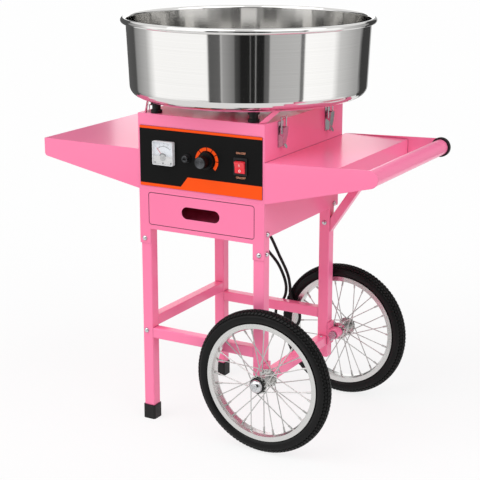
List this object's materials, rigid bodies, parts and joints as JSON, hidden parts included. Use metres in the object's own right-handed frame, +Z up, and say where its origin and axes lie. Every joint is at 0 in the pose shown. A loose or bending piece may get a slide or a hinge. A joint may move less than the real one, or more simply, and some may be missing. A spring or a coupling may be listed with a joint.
{
  "type": "cotton candy cart",
  "caption": "Wheeled cotton candy cart: stainless bowl with a spinning head on a sheet steel machine, cabinet with a drawer, side trays, push handle and laced spoked wheels.",
  "frame": {"origin": "on the floor under the axis of the bowl, at the middle of the bottom of the cart", "axes": "X to the right along the front, towards the push handle; Y from the front to the back; Z up"},
  "size_m": [0.8, 0.545, 0.875],
  "materials": {
    "pink_paint": "glossy pink powder coat",
    "panel_black": "black printed plate with orange stripes",
    "meter_white": "white moulded plastic",
    "clear_window": "clear moulded acrylic",
    "needle_red": "red lacquer",
    "black_plastic": "fine moulded texture",
    "knob_black": "black moulded plastic with a turned metal face",
    "zinc_steel": "bright zinc plate",
    "switch_red": "translucent red plastic",
    "stainless": "spun and polished stainless steel",
    "heater_wire": "oxidised heater wire",
    "black_rubber": "matt black rubber",
    "motor_grey": "grey enamel",
    "chrome": "nickel plate",
    "tyre_rubber": "black tyre rubber",
    "wheel_silver": "silver painted rim and turned hub",
    "spoke_zinc": "bright zinc plated wire"
  },
  "bodies": {
    "root": {"machine_housing": "pink_paint", "bowl_support": "pink_paint", "cabinet_shell": "pink_paint", "cabinet_floor": "pink_paint", "deck": "pink_paint", "leg_front_left": "pink_paint", "leg_rear_left": "pink_paint", "leg_front_right": "pink_paint", "leg_rear_right": "pink_paint", "front_bar": "pink_paint", "rear_bar": "pink_paint", "left_bar": "pink_paint", "axle_bar": "pink_paint", "left_tray": "pink_paint", "right_tray": "pink_paint", "push_handle": "pink_paint", "tray_strut": "pink_paint", "control_panel": "panel_black", "meter_case": "meter_white", "meter_window": "clear_window", "fuse_holder": "black_plastic", "switch_housing": "black_plastic", "cord_plug": "black_plastic", "handle_ring": "black_plastic", "heat_control": "zinc_steel", "drawer_runners": "zinc_steel", "axles": "zinc_steel", "axle_brackets": "zinc_steel", "bowl": "stainless", "rubber_bumpers": "black_rubber", "rubber_feet": "black_rubber", "cord_gland": "black_rubber", "power_cord": "black_rubber", "cord_coil": "black_rubber", "motor": "motor_grey", "latch_bases": "chrome"},
    "front_wheel": {"front_tyre": "tyre_rubber", "front_rim": "wheel_silver", "front_hub": "wheel_silver", "front_spokes": "spoke_zinc"},
    "rear_wheel": {"rear_tyre": "tyre_rubber", "rear_rim": "wheel_silver", "rear_hub": "wheel_silver", "rear_spokes": "spoke_zinc"},
    "spinner": {"spinner_base": "stainless", "heater_ring": "heater_wire", "spinner_band": "stainless", "spinner_cap": "stainless"},
    "drawer": {"drawer": "pink_paint"},
    "heat_knob": {"heat_knob": "knob_black"},
    "meter_needle": {"meter_needle": "needle_red"},
    "switch_rocker": {"switch_rocker": "switch_red"},
    "latch_lever_rf": {"latch_lever_rf": "chrome"},
    "latch_lever_rr": {"latch_lever_rr": "chrome"},
    "latch_lever_lf": {"latch_lever_lf": "chrome"},
    "latch_lever_lr": {"latch_lever_lr": "chrome"},
    "latch_bail_rf": {"latch_bail_rf": "chrome"},
    "latch_bail_rr": {"latch_bail_rr": "chrome"},
    "latch_bail_lf": {"latch_bail_lf": "chrome"},
    "latch_bail_lr": {"latch_bail_lr": "chrome"}
  },
  "joints": [
    {"name": "front_wheel_spin", "type": "hinge", "parent": "root", "child": "front_wheel", "pos_m": [0.165, -0.229, 0.155], "axis": [0, 1, 0], "continuous": true},
    {"name": "rear_wheel_spin", "type": "hinge", "parent": "root", "child": "rear_wheel", "pos_m": [0.165, 0.155, 0.155], "axis": [0, 1, 0], "continuous": true},
    {"name": "spinner_spin", "type": "hinge", "parent": "root", "child": "spinner", "pos_m": [0, 0, 0.759], "axis": [0, 0, 1], "continuous": true},
    {"name": "drawer_slide", "type": "slide", "parent": "root", "child": "drawer", "axis": [0, -1, 0], "range_m": [0, 0.16]},
    {"name": "heat_knob_turn", "type": "hinge", "parent": "root", "child": "heat_knob", "pos_m": [0.0175, -0.2045, 0.5995], "axis": [0, 1, 0], "range_deg": [0, 270]},
    {"name": "meter_needle_swing", "type": "hinge", "parent": "root", "child": "meter_needle", "pos_m": [-0.085, -0.2081, 0.5965], "axis": [0, 1, 0], "range_deg": [0, 84]},
    {"name": "switch_rock", "type": "hinge", "parent": "root", "child": "switch_rocker", "pos_m": [0.0975, -0.203, 0.5955], "axis": [-1, 0, 0], "range_deg": [0, 20]},
    {"name": "latch_rf_open", "type": "hinge", "parent": "root", "child": "latch_lever_rf", "pos_m": [0.159, -0.137, 0.668], "axis": [0, -1, 0], "range_deg": [0, 100]},
    {"name": "latch_rf_bail", "type": "hinge", "parent": "latch_lever_rf", "child": "latch_bail_rf", "pos_m": [0.159, -0.137, 0.659], "axis": [0, -1, 0], "range_deg": [-100, 0]},
    {"name": "latch_rr_open", "type": "hinge", "parent": "root", "child": "latch_lever_rr", "pos_m": [0.159, 0.078, 0.668], "axis": [0, -1, 0], "range_deg": [0, 100]},
    {"name": "latch_rr_bail", "type": "hinge", "parent": "latch_lever_rr", "child": "latch_bail_rr", "pos_m": [0.159, 0.078, 0.659], "axis": [0, -1, 0], "range_deg": [-100, 0]},
    {"name": "latch_lf_open", "type": "hinge", "parent": "root", "child": "latch_lever_lf", "pos_m": [-0.159, -0.137, 0.668], "axis": [0, 1, 0], "range_deg": [0, 100]},
    {"name": "latch_lf_bail", "type": "hinge", "parent": "latch_lever_lf", "child": "latch_bail_lf", "pos_m": [-0.159, -0.137, 0.659], "axis": [0, 1, 0], "range_deg": [-100, 0]},
    {"name": "latch_lr_open", "type": "hinge", "parent": "root", "child": "latch_lever_lr", "pos_m": [-0.159, 0.078, 0.668], "axis": [0, 1, 0], "range_deg": [0, 100]},
    {"name": "latch_lr_bail", "type": "hinge", "parent": "latch_lever_lr", "child": "latch_bail_lr", "pos_m": [-0.159, 0.078, 0.659], "axis": [0, 1, 0], "range_deg": [-100, 0]}
  ],
  "couplings": [
    {"joint": "latch_rf_bail", "follows": "latch_rf_open", "ratio": -1},
    {"joint": "latch_rr_bail", "follows": "latch_rr_open", "ratio": -1},
    {"joint": "latch_lf_bail", "follows": "latch_lf_open", "ratio": -1},
    {"joint": "latch_lr_bail", "follows": "latch_lr_open", "ratio": -1}
  ]
}
